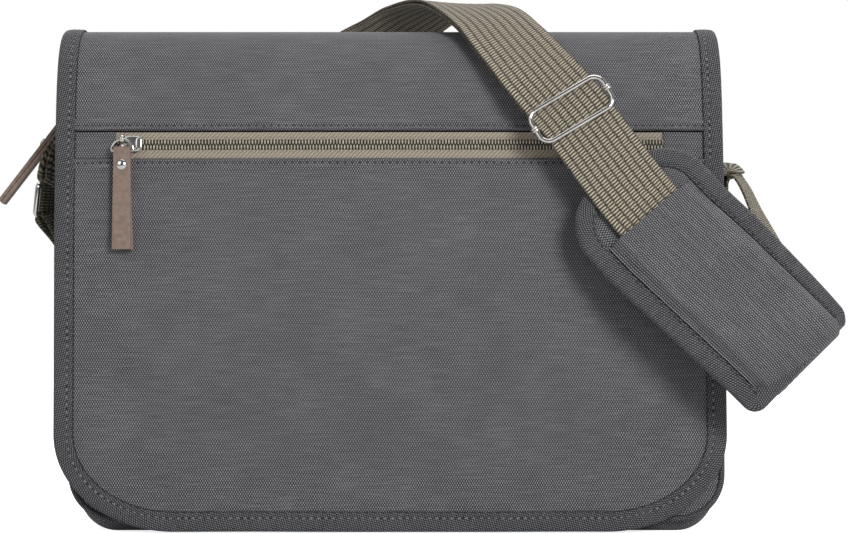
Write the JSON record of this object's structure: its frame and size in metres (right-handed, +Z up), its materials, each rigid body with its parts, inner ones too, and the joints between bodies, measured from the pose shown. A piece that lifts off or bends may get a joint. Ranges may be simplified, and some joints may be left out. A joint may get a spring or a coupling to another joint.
{
  "type": "shoulder bag",
  "caption": "Messenger-style canvas shoulder bag: hollow zipped body, bound front flap with a zip pocket, and a webbing strap with slide adjuster and padded sleeve.",
  "frame": {"origin": "middle of the flat base that the bag stands on", "axes": "+Z up, +X to the wearer's left as the front is seen from outside (the viewer's right), -Y out of the front flap"},
  "size_m": [0.4652, 0.1641, 0.296],
  "materials": {
    "canvas": "plain-weave grey cotton canvas, matt",
    "binding": "dark grey twill tape, matt",
    "strap_webbing": "ribbed taupe webbing, slight sheen",
    "tab_webbing": "ribbed dark olive taupe webbing",
    "zip_tape": "woven taupe zip tape",
    "zip_chain": "coil zip teeth, satin",
    "leather": "smooth taupe brown leather, semi-matt",
    "nickel": "bright nickel plate"
  },
  "bodies": {
    "bag": {"front_panel": "canvas", "back_panel": "canvas", "gusset": "canvas", "zip_band_front": "canvas", "zip_band_back": "canvas", "main_zip_tape": "zip_tape", "main_zip_chain": "zip_chain", "piping_front": "binding", "piping_back": "binding", "flap_upper_panel": "canvas", "flap_lower_panel": "canvas", "flap_binding": "binding", "front_zip_tape": "zip_tape", "front_zip_chain": "zip_chain", "zip_tab_right": "canvas", "zip_tab_left": "canvas", "front_zip_slider": "nickel", "main_zip_slider": "nickel", "strap_tab_left": "tab_webbing", "strap_tab_right": "tab_webbing", "strap_ring_left": "nickel", "strap_ring_right": "nickel", "strap_webbing": "strap_webbing", "strap_adjuster": "nickel", "shoulder_pad": "canvas", "pad_sleeve": "canvas", "pad_binding": "binding"},
    "front_puller": {"front_puller_ring": "nickel", "front_puller_leather": "leather", "front_puller_rivet": "nickel"},
    "main_puller": {"main_puller_ring": "nickel", "main_puller_leather": "leather", "main_puller_rivet": "nickel"}
  },
  "joints": [
    {"name": "front_puller_swing", "type": "hinge", "parent": "bag", "child": "front_puller", "pos_m": [-0.1487, -0.04897, 0.21386], "axis": [-1, 0, 0], "range_deg": [0, 150]},
    {"name": "main_puller_swing", "type": "hinge", "parent": "bag", "child": "main_puller", "pos_m": [-0.1819, 0.00415, 0.235], "axis": [0, 1, 0], "range_deg": [0, 100]}
  ]
}
